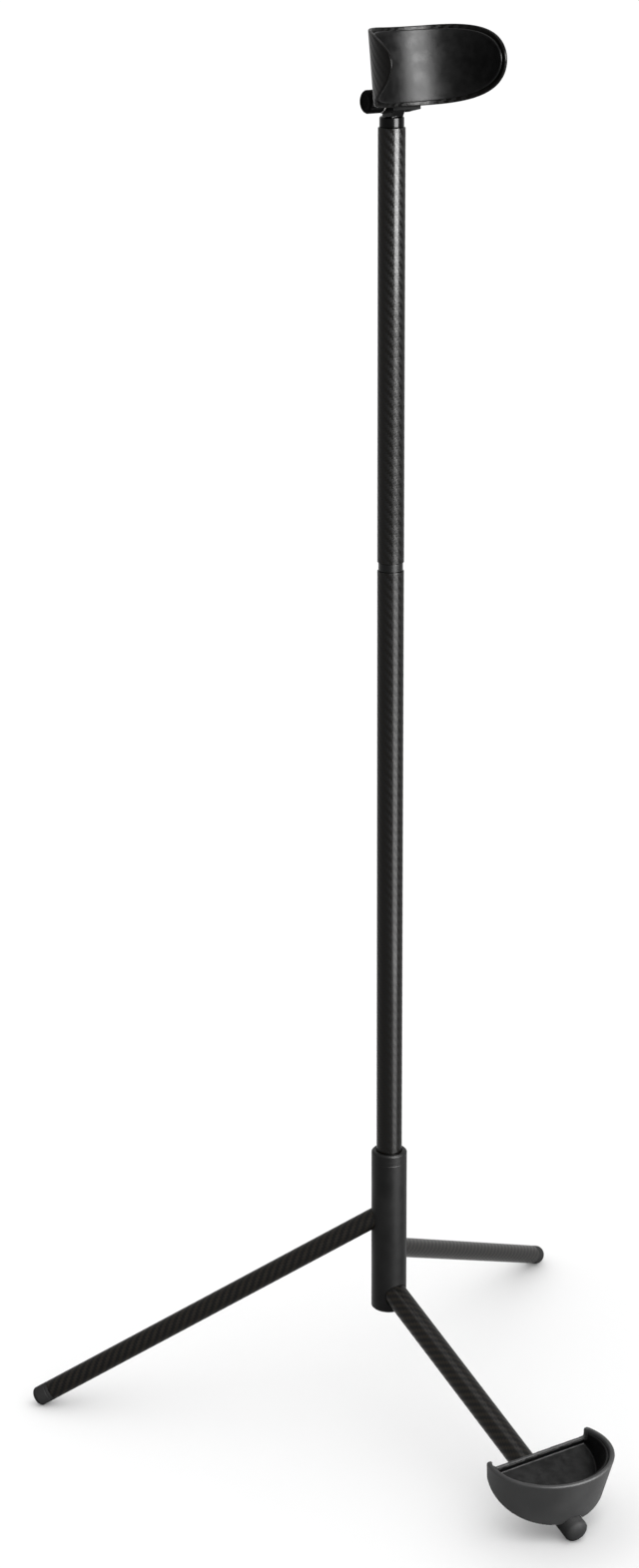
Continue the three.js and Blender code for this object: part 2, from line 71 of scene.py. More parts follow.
FOOT_SPIGOT = 14 * MM  # length of a foot cap inside its tube
FOOT_SPIGOT_STEP = 1.3 * MM  # the spigot's radius is less than the cap's by this
FOOT_SIDE = 9 * MM  # straight side of a cap, beyond its tube
FOOT_DOME = 0.57  # length of a cap's round end, as a part of its radius
DOME_STEPS = 16
FOOT_BEAD = 2.2 * MM  # distance of the moulded line from the cap's shoulder
FOOT_LINE = (0.35 * MM, 0.3 * MM)  # half width and depth of that line
SOFT_EDGE = 0.4 * MM  # an edge that is eased more

GROOVE_HALF = 0.8 * MM  # half width of an O-ring groove
GROOVE_DEPTH = 1.2 * MM  # depth of the grooves in the two mast spigots
ORING_SECTION = 0.45 * MM
HUB_CHAMFER = 1.2 * MM
HUB_BEAD = 8 * MM  # distance of the hub's turned lines from its ends
HUB_LINE = (0.3 * MM, 0.22 * MM)  # half width and depth of those lines
HUB_STEP = 3 * MM  # pitch of the points along the hub's long straight sides
SOCKET_CUT = 48 * MM  # a leg socket's cutter comes out through the hub's side

SPIGOT_RADIUS = 7.7 * MM  # ferrule and neck stem, inside the mast tubes
CHAMFER = 1 * MM
FERRULE_BORE = 5 * MM

BARREL_RADIUS = 8.1 * MM  # visible part of the neck above the mast
BARREL_TOP = 0.9203
TONGUE_HALF = 4.5 * MM
TONGUE_RADIUS = 7.4 * MM
TONGUE_ROOT = 3 * MM  # the tongue starts this far inside the barrel
TONGUE_ROOT_HALF = 5 * MM
TONGUE_ARC = (0.5, math.pi + 0.45)  # angles between which the tongue's end is round
BOLT_BORE = 3.3 * MM
BORE_REACH = 30 * MM  # half length of the bolt bore's cutter

CRADLE_TILT = math.radians(8.3)
BAND_RADIUS = 44.5 * MM  # outside of the cradle band
BAND_WALL = 2.2 * MM
BAND_HALF_HEIGHT = 24.95 * MM
BAND_AXIS = -57.1 * MM  # band axis, forward of the hinge
BAND_RISE = 20 * MM  # band centre, above the hinge
TIP_REACH = 9.4 * MM  # how far the tips reach forward of the band axis
TIP_LENGTH = 50 * MM  # length over which the band narrows to its tip
TIP_CURVE = 1.08  # 1 gives half an ellipse, more gives a slimmer tip
BACK_ANGLE = math.radians(22)  # the band's back, on each side of its middle
LINING = 1.6 * MM
LINING_MARGIN = 2.4 * MM  # width of the band's bare edge around its lining
SHELL_EDGE = 0.8 * MM
LINING_EDGE = 0.7 * MM
ARM_STEPS = 56  # columns along each arm of the band
BACK_STEPS = 8  # columns on each side of the middle of its back
EDGE_STEPS = 5  # around a rounded edge of the band

EAR_OUTER = 10.4 * MM
EAR_INNER = 5.9 * MM
EAR_RADIUS = 8 * MM
EAR_ROOT = -18 * MM  # along Y: where an ear starts, inside the pad,
EAR_HEEL = -13 * MM  # where it leaves the pad's foot,
EAR_THROAT = -2 * MM  # where its underside meets its round end,
EAR_CROWN = -8 * MM  # and where its round end meets the pad's top
PAD_THICKNESS = 4 * MM
PAD_INSET = 1 * MM  # the pad starts deeper than its face and is cut back to it
PAD_BOTTOM = -7 * MM
PAD_TOP = 18.5 * MM
NUT_FLATS = 10 * MM
NUT_BEVEL = 0.98  # where the corners are turned off, as a part of half the flats
SCREW_X = 7.4 * MM
SCREW_Z = 12.5 * MM
SCREW_RADIUS = 1.5 * MM
SCREW_HEAD = 2.9 * MM
SCREW_LENGTH = 8.5 * MM
SCREW_RECESS = 0.75 * MM
HEX_SOCKET = 2 * MM
SCREW_THREAD = (0.5 * MM, 0.25 * MM)  # pitch and depth
STUD_THREAD = (1.0 * MM, 0.55 * MM)
SET_SCREW_THREAD = (0.7 * MM, 0.35 * MM)
STUD_PLAIN = 14 * MM  # length of the stud before its thread

KNOB_DISH = 0.62  # width of the dished end, as a part of the knob's
KNOB_FLUTES = 10
FLUTE_RADIUS = 1.3 * MM
FLUTE_OUT = 0.8 * MM  # centre of a flute's arc, outside the knob

CUP_WALL = 3 * MM
CUP_LIP = 44.5 * MM  # height of the low back edge between the horns
# The cup's rim and base, in millimetres: reach of the ellipse's middle and front from the mast axis,
# half its width, and its height at the back and the front.
CUP_RIM = {"middle": 202, "front": 245.5, "half_width": 43.8, "back_z": 51.5, "front_z": 51.5}
CUP_BASE = {"middle": 196, "front": 229.5, "half_width": 42.2, "back_z": 38, "front_z": 12.5}
CUP_CURL = 0.35  # radians by which the outline curls in past its widest point
CUP_SIDE = 0.9  # middle of the cup, to the right of the front leg
CUP_ROLL = math.radians(2.6)  # the cup sits turned a little about the front leg
SLEEVE_WALL = 2.4 * MM
SLEEVE_START = 188 * MM  # distances from the mast axis, level
SLEEVE_END = 211 * MM
LEG_CUT = (150 * MM, 270 * MM)  # the same, for the front leg's way through the cup
SET_SCREW_HOLE = 2.3 * MM

WEAVE_FADE = (0.16, 0.18)  # heights between which the painted sheen of the lengthwise tows fades to its share on the mast
MAST_WEAVE = 0.3  # how much of that painted sheen of the weave shows above them

CAMERA_PLACE = (-1.1335, -1.7117, 1.1369)
CAMERA_TURN = (-31.348, 72.374, -0.254)  # heading, pitch and roll, in degrees
CAMERA_LENS = 73.82  # in millimetres, on a sensor 36 mm high

# ---- places, read from the frame ----
bodies = frame["record"]["behaviour"]["bodies"]
body_of_node = {node: body for body, nodes in bodies.items() for node in nodes}
joints = {joint["name"]: joint for joint in frame["joints"]}


def line(origin, direction, across=(1, 0, 0)):
    """A matrix whose Z axis runs along a direction through a point, with X as near `across` as it can be."""
    z = Vector(direction).normalized()
    y = z.cross(Vector(across)).normalized()
    x = y.cross(z)
    return Matrix.Translation(origin) @ Matrix((x, y, z)).transposed().to_4x4()


def corners(node):
    """The different corner points of a CAD node."""
    return [Vector(c) for c in {tuple(round(x, 7) for x in v.co) for v in frame["nodes"][node].data.vertices}]


def span(node, along):
    """Start and end of a node along a line, and its least and greatest distance from it."""
    inverse = along.inverted()
    local = [inverse @ corner for corner in corners(node)]
    away = [math.hypot(p.x, p.y) for p in local]
    return min(p.z for p in local), max(p.z for p in local), min(away), max(away)


def leg_line(name):
    """The axis of a leg, outwards and down, from the middle of its tube's own corners."""
    points = corners(f"{name}_leg_tube")
    middle = sum(points, Vector()) / len(points)
    return line(middle, joints[f"{name}_leg_pull_out"]["axis"], across=(0, 0, 1))


mast_foot = Vector(joints["cradle_swivel"]["pos_m"])
mast_foot.z = 0
mast = line(mast_foot, (0, 0, 1))
legs = {name: leg_line(name) for name in ("left", "right", "front")}
hinge = Matrix.Translation(joints["cradle_tilt"]["pos_m"]) @ Matrix.Rotation(-CRADLE_TILT, 4, "X")
bolt = hinge @ line((0, 0, 0), (1, 0, 0), across=(0, 1, 0))
# Takes an outline in Y and Z, to be pushed along X.
sideways = Matrix(((0, 0, 1, 0), (1, 0, 0, 0), (0, 1, 0, 0), (0, 0, 0, 1)))


# ---- mesh making ----
def made(name, mesh_work, sharp=38):
    """Turns a bmesh into an object in the scene, smooth apart from edges over an angle."""
    bmesh.ops.recalc_face_normals(mesh_work, faces=mesh_work.faces)
    mesh = bpy.data.meshes.new(name)
    mesh_work.to_mesh(mesh)
    mesh_work.free()
    piece = bpy.data.objects.new(name, mesh)
    bpy.context.scene.collection.objects.link(piece)
    return smoothed(piece, sharp)


def smoothed(piece, sharp=38):
    """Shades a piece smooth apart from edges over an angle."""
    piece.data.shade_smooth()
    piece.data.set_sharp_from_angle(angle=math.radians(sharp))
    return piece


def settled(piece, sharp=38):
    """Applies a piece's modifiers to its mesh."""
    bpy.context.view_layer.update()
    graph = bpy.context.evaluated_depsgraph_get()
    rough = piece.data
    piece.data = bpy.data.meshes.new_from_object(piece.evaluated_get(graph))
    piece.modifiers.clear()
    bpy.data.meshes.remove(rough)
    return smoothed(piece, sharp)


def combined(piece, operation, *others):
    """Joins others to a piece, or cuts them from it, and removes them."""
    for other in others:
        modifier = piece.modifiers.new("combine", "BOOLEAN")
        modifier.operation = operation
        modifier.solver = "EXACT"
        modifier.object = other
    settled(piece)
    for other in others:
        bpy.data.objects.remove(other)
    return piece


def cut(piece, *others):
    return combined(piece, "DIFFERENCE", *others)


def moulded(piece, voxel, rounds, keep):
    """Gives a piece the soft edges and fillets of a moulding: a fine even skin, smoothed and thinned out."""
    skin = piece.modifiers.new("skin", "REMESH")
    skin.mode = "VOXEL"
    skin.voxel_size = voxel
    soft = piece.modifiers.new("soft", "SMOOTH")
    soft.iterations = rounds
    soft.factor = 0.5
    thin = piece.modifiers.new("thin", "DECIMATE")
    thin.ratio = keep
    return settled(piece, sharp=60)


def rounded(profile, radius, closed=False, steps=4):
    """A profile with each corner eased by about a radius, and a support point on each side of it."""
    count = len(profile)
    result = []
    for i, (r, t) in enumerate(profile):
        if not closed and i in (0, count - 1):
            result.append((r, t))
            continue
        here = Vector((r, t))
        before = Vector(profile[i - 1])
        after = Vector(profile[(i + 1) % count])
        reach = min(radius, 0.4 * (before - here).length, 0.4 * (after - here).length)
        start = here + (before - here).normalized() * reach
        end = here + (after - here).normalized() * reach
        result.append(tuple(here + (start - here) * 1.2))
        for step in range(steps + 1):
            s = step / steps
            result.append(tuple(start * (1 - s) ** 2 + here * 2 * s * (1 - s) + end * s ** 2))
        result.append(tuple(here + (end - here) * 1.2))
    return result


def stepped(profile, pitch):
    """A profile with its long straight runs cut into even steps."""
    result = [profile[0]]
    for before, after in zip(profile, profile[1:]):
        start, end = Vector(before), Vector(after)
        steps = max(1, round((end - start).length / pitch))
        result += [tuple(start.lerp(end, k / steps)) for k in range(1, steps + 1)]
    return result


def strip(mesh_work, low, high, layer, v_low, v_high, girth):
    """Faces between two rings of corners, either of which may be a single point."""
    count = max(len(low), len(high))
    for k in range(count):
        around = [(low, k, v_low), (low, k + 1, v_low), (high, k + 1, v_high), (high, k, v_high)]
        face_corners = {}
        for ring, step, v in around:
            face_corners.setdefault(ring[step % len(ring)], (girth * step / count, v))
        face = mesh_work.faces.new(list(face_corners))
        for loop in face.loops:
            loop[layer].uv = face_corners[loop.vert]


def turned(name, profile, along, segments=SEGMENTS, change=None):
    """A turned piece, from pairs of radius and place along a line.

    A profile that doesn't start and end on the axis closes on itself. change(angle, radius) may alter
    the radius round the piece.
    """
    closed = profile[0][0] > 1e-7
    mesh_work = bmesh.new()
    layer = mesh_work.loops.layers.uv.new(UV)
    rings = []
    for radius, t in profile:
        if radius < 1e-7:
            rings.append([mesh_work.verts.new(along @ Vector((0, 0, t)))])
            continue
        ring = []
        for k in range(segments):
            angle = 2 * math.pi * k / segments
            r = change(angle, radius) if change else radius
            ring.append(mesh_work.verts.new(along @ Vector((r * math.cos(angle), r * math.sin(angle), t))))
        rings.append(ring)
    widest = max(radius for radius, t in profile)
    girth = max(1, round(2 * math.pi * widest / MM / WEAVE)) * WEAVE
    v = 0
    for i in range(len(rings) if closed else len(rings) - 1):
        j = (i + 1) % len(rings)
        step = (Vector(profile[j]) - Vector(profile[i])).length / MM
        if len(rings[i]) > 1 or len(rings[j]) > 1:
            strip(mesh_work, rings[i], rings[j], layer, v, v + step, girth)
        v += step
    return made(name, mesh_work)


def sleeve(name, inner, outer, start, end, along, edge=EDGE, segments=SEGMENTS):
    """A round piece with a bore right through it."""
    profile = [(inner, start), (outer, start), (outer, end), (inner, end)]
    return turned(name, rounded(profile, edge, closed=True), along, segments)


def bar(name, radius, start, end, along, segments=SEGMENTS):
    """A plain round bar."""
    return turned(name, [(0, start), (radius, start), (radius, end), (0, end)], along, segments)


def ring_profile(radius, centre, section, steps=16):
    """The closed round profile of a ring."""
    turns = [2 * math.pi * k / steps for k in range(steps)]
    return [(radius + section * math.cos(a), centre + section * math.sin(a)) for a in turns]


def groove(surface, floor, centre, rising=True):
    """Profile points of a groove, met in rising or falling order."""
    half = GROOVE_HALF if rising else -GROOVE_HALF
    low, high = centre - half, centre + half
    return [(surface, low), (floor, low), (floor, high), (surface, high)]


def bead(radius, centre, size):
    """Profile points of a fine line round a piece."""
    half, depth = size
    return [(radius, centre - half), (radius - depth, centre), (radius, centre + half)]


def thread(radius, form, start, limit):
    """Profile points of a thread from a start up to a limit, and where its last turn ends."""
    pitch, depth = form
    points = []
    z = start
    while z + pitch < limit:
        points += [(radius, z), (radius - depth, z + pitch / 2)]
        z += pitch
    return points, z


def arc(centre, radius, start, end, steps=24):
    """Points of an arc, between two angles in radians."""
    turns = [start + (end - start) * k / steps for k in range(steps + 1)]
    return [(centre[0] + radius * math.cos(a), centre[1] + radius * math.sin(a)) for a in turns]


def prism(name, outline, low, high, place):
    """An outline pushed from one height to another."""
    return loft(name, [[Vector((x, y, z)) for x, y in outline] for z in (low, high)], place)


def block(name, low, high, place=Matrix.Identity(4)):
    """A cutting block between two corners."""
    outline = [(low[0], low[1]), (high[0], low[1]), (high[0], high[1]), (low[0], high[1])]
    return prism(name, outline, low[2], high[2], place)


def loft(name, loops, place):
    """A solid through closed loops of points."""
    mesh_work = bmesh.new()
    mesh_work.loops.layers.uv.new(UV)
    rings = [[mesh_work.verts.new(place @ point) for point in loop] for loop in loops]
    mesh_work.faces.new(rings[0])
    mesh_work.faces.new(rings[-1])
    for low, high in zip(rings, rings[1:]):
        for k in range(len(low)):
            n = (k + 1) % len(low)
            mesh_work.faces.new((low[k], low[n], high[n], high[k]))
    return made(name, mesh_work)


# ---- materials ----
class Finish:
    """A procedural material. Each method adds nodes and returns their output."""

    def __init__(self, name):
        self.material = bpy.data.materials.new(name)
        self.material.use_nodes = True
        self.nodes = self.material.node_tree.nodes
        self.links = self.material.node_tree.links
        self.shader = self.nodes["Principled BSDF"]

    def add(self, kind):
        return self.nodes.new("ShaderNode" + kind)

    def feed(self, socket, value):
        if isinstance(value, bpy.types.NodeSocket):
            self.links.new(value, socket)
        else:
            socket.default_value = value

    def maths(self, operation, *values):
        node = self.add("Math")
        node.operation = operation
        for socket, value in zip(node.inputs, values):
            self.feed(socket, value)
        return node.outputs[0]

    def times(self, *values):
        return self.maths("MULTIPLY", *values)

    def plus(self, *values):
        return self.maths("ADD", *values)

    def place(self):
        """Where a point lies in the part's frame, at rest."""
        return self.add("TexCoord").outputs["Object"]

    def around(self):
        """Millimetres round a piece and along it."""
        node = self.add("UVMap")
        node.uv_map = UV
        parts = self.add("SeparateXYZ")
        self.links.new(node.outputs[0], parts.inputs[0])
        return parts.outputs[0], parts.outputs[1]

    def vector(self, x, y, z=0.0):
        node = self.add("CombineXYZ")
        for socket, value in zip(node.inputs, (x, y, z)):
            self.feed(socket, value)
        return node.outputs[0]

    def noise(self, scale, detail=3.0, where=None, roughness=0.55):
        """Noise whose features are about 1 / scale across, in metres or in the units of `where`."""
        node = self.add("TexNoise")
        node.inputs["Scale"].default_value = scale
        node.inputs["Detail"].default_value = detail
        node.inputs["Roughness"].default_value = roughness
        self.links.new(where or self.place(), node.inputs["Vector"])
        return node.outputs["Fac"]

    def cells(self, scale, where=None):
        """Distance to the nearest of many scattered points."""
        node = self.add("TexVoronoi")
        node.inputs["Scale"].default_value = scale
        self.links.new(where or self.place(), node.inputs["Vector"])
        return node.outputs["Distance"]

    def scatter(self, *values):
        """A random number for each set of whole values."""
        node = self.add("TexWhiteNoise")
        self.links.new(self.vector(*values), node.inputs["Vector"])
        return node.outputs["Value"]

    def between(self, value, low=0.3, high=0.7, to_low=0.0, to_high=1.0):
        """A value eased from one range to another."""
        node = self.add("MapRange")
        node.interpolation_type = "SMOOTHSTEP"
        for socket, number in zip(node.inputs, (value, low, high, to_low, to_high)):
            self.feed(socket, number)
        return node.outputs[0]

    def blend(self, share, first, second):
        """first where the share is 0, second where it is 1; numbers or colours."""
        colour = isinstance(first, tuple) or (hasattr(first, "type") and first.type == "RGBA")
        node = self.add("Mix")
        node.data_type = "RGBA" if colour else "FLOAT"
        wanted = "Color" if colour else "Float"
        names = {"Factor": share, "A": first, "B": second}
        for name, value in names.items():
            kind = "Float" if name == "Factor" else wanted
            socket = next(s for s in node.inputs if s.identifier == f"{name}_{kind}")
            self.feed(socket, value)
        return next(s for s in node.outputs if s.identifier == f"Result_{wanted}")

    def bump(self, height, distance, strength=1.0, under=None):
        """A normal from a height; distance is the height's real size in metres."""
        node = self.add("Bump")
        node.inputs["Strength"].default_value = strength
        node.inputs["Distance"].default_value = distance
        self.feed(node.inputs["Height"], height)
        if under is not None:
            self.links.new(under, node.inputs["Normal"])
        return node.outputs["Normal"]

    def edges(self, low=0.53, high=0.6):
        """1 along the outer edges of a piece."""
        node = self.add("NewGeometry")
        return self.between(node.outputs["Pointiness"], low, high)

    def set(self, **values):
        """Sets the surface's inputs, and returns the material."""
        for name, value in values.items():
            socket = next(s for s in self.shader.inputs if s.name.lower().replace(" ", "_") == name)
            self.feed(socket, value)
        return self.material


def grey(value, warmth=0.0):
    """A grey, a little warm or cold."""
    return (value * (1 + warmth), value, value * (1 - warmth), 1)


def carbon(name, dark, light, gloss, specular=0.06):
    """A 2x2 twill of carbon tows under clear resin. The lengthwise tows are painted lighter than the round-running
    ones, a painted sheen of the fibres, and this painted contrast is weaker on the mast than on the legs. Where
    each tow dips under its neighbours it is painted darker, a painted shade.
    """
    finish = Finish(name)
    u, v = finish.around()
    across, along = finish.maths("DIVIDE", u, TOW), finish.maths("DIVIDE", v, TOW)
    column, row = finish.maths("FLOOR", across), finish.maths("FLOOR", along)
    in_column, in_row = finish.maths("FRACT", across), finish.maths("FRACT", along)
    turn = finish.maths("FLOORED_MODULO", finish.plus(column, row), 4.0)
    lengthwise = finish.maths("LESS_THAN", turn, 2.0)
    run_along = finish.times(finish.plus(turn, in_row), 0.5)
    run_round = finish.times(finish.plus(finish.maths("SUBTRACT", turn, 2.0), in_column), 0.5)
    run = finish.blend(lengthwise, run_round, run_along)
    side = finish.blend(lengthwise, in_row, in_column)
    arch = finish.maths("SINE", finish.times(run, math.pi))
    from_middle = finish.maths("ABSOLUTE", finish.maths("SUBTRACT", side, 0.5))
    crown = finish.maths("SUBTRACT", 1.0, finish.maths("POWER", finish.times(from_middle, 2.0), 3.0))
    height = finish.times(finish.maths("POWER", arch, 0.6), crown)
    lane = finish.scatter(finish.blend(lengthwise, row, column), lengthwise, 3.0)
    fibre_x = finish.blend(lengthwise, along, across)
    fibre_y = finish.blend(lengthwise, across, along)
    stretched = finish.vector(finish.times(fibre_x, 14.0), finish.times(fibre_y, 0.35), lengthwise)
    fibres = finish.noise(1.0, 2.0, stretched)
    parts = finish.add("SeparateXYZ")
    finish.links.new(finish.place(), parts.inputs[0])
    painted_sheen_share = finish.between(parts.outputs[2], *WEAVE_FADE, 1.0, MAST_WEAVE)
    # Painted sheen: the lengthwise tows take the lighter colour, as if they caught more light, and the
    # round-running tows take the darker one
    tone = finish.blend(finish.times(lengthwise, painted_sheen_share), dark, light)
    streaks = finish.plus(finish.times(lane, 0.35), finish.between(fibres, 0.3, 0.7, 0.6, 1.0))
    # Painted shade: each tow is painted darker, towards the grey below, where it dips under its neighbours; the
    # streaks multiplied in are random tone along the tows
    shade = finish.times(finish.between(height, 0.0, 0.7, 0.35, 1.0), streaks)
    colour = finish.blend(shade, grey(0.0025, 0.1), tone)
    smears = finish.noise(60.0, 4.0)
    weave = finish.bump(finish.plus(height, finish.times(fibres, 0.12)), 0.03 * MM, 0.8)
    tangent = finish.add("Tangent")
    tangent.direction_type = "UV_MAP"
    tangent.uv_map = UV
    return finish.set(
        base_color=colour,
        roughness=finish.blend(lengthwise, 0.42, 0.3),
        specular_ior_level=specular,
        anisotropic=0.55,
        anisotropic_rotation=finish.times(lengthwise, 0.25),
        tangent=tangent.outputs[0],
        normal=weave,
        coat_weight=gloss,
        coat_roughness=finish.between(smears, 0.35, 0.7, 0.1, 0.2),
        coat_ior=1.45,
    )


def anodised(name, tone, rough, pitch=0.18, wear=1.0, specular=0.12):
    """Black anodised metal with fine turning marks and edges rubbed a little lighter."""
    finish = Finish(name)
    around, along = finish.around()
    lathe = finish.vector(finish.times(around, 0.02), finish.maths("DIVIDE", along, pitch))
    marks = finish.noise(1.0, 2.0, lathe)
    grain = finish.noise(2600.0, 2.0)
    cloud = finish.noise(45.0, 4.0)
    patches = finish.between(finish.noise(420.0, 4.0), 0.45, 0.62, 0.0, wear)
    rubbed = finish.times(finish.edges(), patches)
    plain = finish.blend(finish.between(cloud), grey(tone * 0.8), grey(tone * 1.25))
    colour = finish.blend(finish.times(rubbed, 0.55), plain, grey(tone * 6, 0.03))
    fine = finish.bump(grain, 0.012 * MM, 0.5)
    return finish.set(
        base_color=colour,
        metallic=0.25,
        roughness=finish.plus(
            finish.between(cloud, 0.3, 0.7, rough - 0.05, rough + 0.06),
            finish.times(marks, 0.06),
        ),
        specular_ior_level=specular,
        normal=finish.bump(marks, 0.01 * MM, 0.5, fine),
    )


def moulding(name, tone, rough, grain_size, grain_height, warmth=0.0, scuffs=0.3, specular=0.1):
    """Moulded plastic or rubber: a spark-eroded grain, soft cloudiness and faint scuffs on the edges."""
    finish = Finish(name)
    cells = finish.cells(1 / (grain_size * MM))
    fine = finish.noise(2 / (grain_size * MM), 3.0)
    cloud = finish.noise(38.0, 4.0)
    patches = finish.between(finish.noise(350.0, 5.0), 0.48, 0.66)
    scuffed = finish.times(finish.edges(0.52, 0.58), patches)
    darker, paler = grey(tone * 0.82, warmth), grey(tone * 1.18, warmth)
    plain = finish.blend(finish.between(cloud, 0.28, 0.72), darker, paler)
    speckled = finish.blend(finish.between(fine, 0.42, 0.62, 0.0, 0.25), plain, grey(tone * 0.55, warmth))
    colour = finish.blend(finish.times(scuffed, scuffs), speckled, grey(tone * 2.6 + 0.004, warmth))
    height = finish.plus(cells, finish.times(fine, 0.5))
    return finish.set(
        base_color=colour,
        roughness=finish.between(cloud, 0.3, 0.7, rough - 0.06, rough + 0.07),
        specular_ior_level=specular,
        normal=finish.bump(height, grain_height * MM, 0.9),
    )


def napped(name, tone, rough, sheen):
    """The soft lining: thin foam faced with a fine short nap that catches light at a low angle."""
    finish = Finish(name)
    hairs = finish.noise(3200.0, 2.0)
    brushed = finish.noise(150.0, 4.0)
    cells = finish.cells(1400.0)
    colour = finish.blend(finish.between(brushed), grey(tone * 0.75), grey(tone * 1.35))
    mottled = finish.blend(finish.between(hairs, 0.4, 0.65, 0.0, 0.5), colour, grey(tone * 2.0))
    height = finish.plus(finish.times(cells, 0.6), hairs)
    broad = finish.bump(brushed, 0.05 * MM, 0.4)
    return finish.set(
        base_color=mottled,
        roughness=finish.between(brushed, 0.3, 0.7, rough - 0.05, rough + 0.08),
        specular_ior_level=0.05,
        sheen_weight=sheen,
        sheen_roughness=0.4,
        normal=finish.bump(height, 0.05 * MM, 0.7, broad),
    )


def steel(name):
    """Plain turned steel, a little stained."""
    finish = Finish(name)
    lines = finish.noise(1800.0, 2.0)
    stain = finish.noise(240.0, 4.0)
    return finish.set(
        base_color=finish.blend(finish.between(stain, 0.35, 0.7), grey(0.5, 0.02), grey(0.32, 0.05)),
        metallic=1.0,
        roughness=finish.between(lines, 0.3, 0.7, 0.24, 0.42),
        normal=finish.bump(lines, 0.01 * MM, 0.6),
    )


materials = {
    # The second colour of each carbon finish is the painted sheen of its lengthwise tows
    "carbon_tube": carbon("carbon_tube", (0.0007, 0.0006, 0.0005, 1), (0.0088, 0.0068, 0.0044, 1), 0.1),
    "cradle_shell": carbon("cradle_shell", (0.001, 0.0009, 0.0008, 1), (0.004, 0.0036, 0.003, 1), 0.02, 0.03),
    "hub": anodised("hub", 0.004, 0.42, wear=0.0, specular=0.09),
    "ferrule": anodised("ferrule", 0.004, 0.34),
    "neck_metal": anodised("neck_metal", 0.0012, 0.16, specular=0.07),
    "ring_rubber": moulding("ring_rubber", 0.002, 0.6, 0.25, 0.01, specular=0.03),
    "foot_rubber": moulding("foot_rubber", 0.006, 0.72, 0.35, 0.03, scuffs=0.4),
    "cup_shell": moulding("cup_shell", 0.021, 0.6, 0.4, 0.03, warmth=-0.01, specular=0.15),
    "soft_lining": napped("soft_lining", 0.002, 0.38, 0.0),
    "bracket_plastic": moulding("bracket_plastic", 0.002, 0.6, 0.3, 0.01, scuffs=0.15, specular=0.02),
    "knob_plastic": moulding("knob_plastic", 0.0008, 0.6, 0.3, 0.01, scuffs=0.1, specular=0.01),
    "washer_nylon": moulding("washer_nylon", 0.015, 0.5, 0.3, 0.01),
    "fastener_steel": steel("fastener_steel"),
}


def finished(piece, node, slot):
    """Gives a piece its material, and lets it stand for its CAD node on that node's body."""
    piece.data.materials.clear()
    piece.data.materials.append(materials[slot])
    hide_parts(node)
    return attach(piece, body_of_node[node])


def named(node):
    """The name of the detailed piece that stands for a node."""
    return f"{node}_visual"


# ---- tubes, feet and rings ----
def add_tube(node, along):
    start, end, inner, outer = span(node, along)
    finished(sleeve(named(node), inner, outer, start, end, along), node, "carbon_tube")


def add_ring(node, along):
    start, end, inner, outer = span(node, along)
    profile = ring_profile((inner + outer) / 2, (start + end) / 2, ORING_SECTION)
    finished(turned(named(node), profile, along, 72), node, "ring_rubber")


def add_foot(name):
    """A moulded cap: spigot, shoulder, a fine groove and a round end, cut flat where it stands."""
    node, along = f"{name}_foot_cap", legs[name]
    start, _, _, radius = span(node, along)
    shoulder = start + FOOT_SPIGOT
    round_start = span(f"{name}_leg_tube", along)[1] + GAP + FOOT_SIDE
    spigot = radius - FOOT_SPIGOT_STEP
    profile = [(0, start), (spigot, start), (spigot, shoulder), (radius, shoulder),
               *bead(radius, shoulder + FOOT_BEAD, FOOT_LINE), (radius, round_start)]
    profile = rounded(profile, SOFT_EDGE)
    for step in range(1, DOME_STEPS + 1):
        angle = math.pi / 2 * step / DOME_STEPS
        dome = round_start + FOOT_DOME * radius * math.sin(angle)
        profile.append((radius * math.cos(angle) if step < DOME_STEPS else 0, dome))
    cap = turned(named(node), profile, along)
    ground = block("ground", (-1, -1, -0.1), (1, 1, 0))
    finished(cut(cap, ground), node, "foot_rubber")


# ---- hub ----
def socket_cutter(name):
    """The hole that a leg pushes into, with the groove of its ring."""
    along = legs[name]
    start, _, _, outer = span(f"{name}_leg_tube", along)
    ring_start, ring_end, _, ring_outer = span(f"{name}_leg_o_ring", along)
    bore = outer + GAP
    bottom = start - GAP
    rings = groove(bore, ring_outer, (ring_start + ring_end) / 2)
    top = bottom + SOCKET_CUT
    profile = [(0, bottom), (bore, bottom), *rings, (bore, top), (0, top)]
    return turned("socket", profile, along)


def add_hub():
    node = "hub_body"
    bottom, top, _, radius = span(node, mast)
    seat = span("lower_mast_tube", mast)[0] - GAP
    bore = span("lower_mast_tube", mast)[3] + GAP
    ring_start, ring_end, _, ring_outer = span("hub_o_ring", mast)
    outside = [(0, bottom), (radius - HUB_CHAMFER, bottom), (radius, bottom + HUB_CHAMFER)]
    for z in (bottom + HUB_BEAD, top - HUB_BEAD):
        outside += bead(radius, z, HUB_LINE)
    outside += [(radius, top - HUB_CHAMFER), (radius - HUB_CHAMFER, top), (bore, top)]
    inside = groove(bore, ring_outer, (ring_start + ring_end) / 2, rising=False)
    profile = rounded(outside + inside + [(bore, seat), (0, seat)], SOFT_EDGE)
    hub = turned(named(node), stepped(profile, HUB_STEP), mast, 128)
    finished(cut(hub, *(socket_cutter(name) for name in legs)), node, "hub")


# ---- mast joint and neck ----
def spigot_grooves(owner):
    """The grooves of the two rings on a spigot in the mast."""
    points = []
    for number in (1, 2):
        low, high, _, _ = span(f"{owner}_o_ring_{number}", mast)
        points += groove(SPIGOT_RADIUS, SPIGOT_RADIUS - GROOVE_DEPTH, (low + high) / 2)
    return points


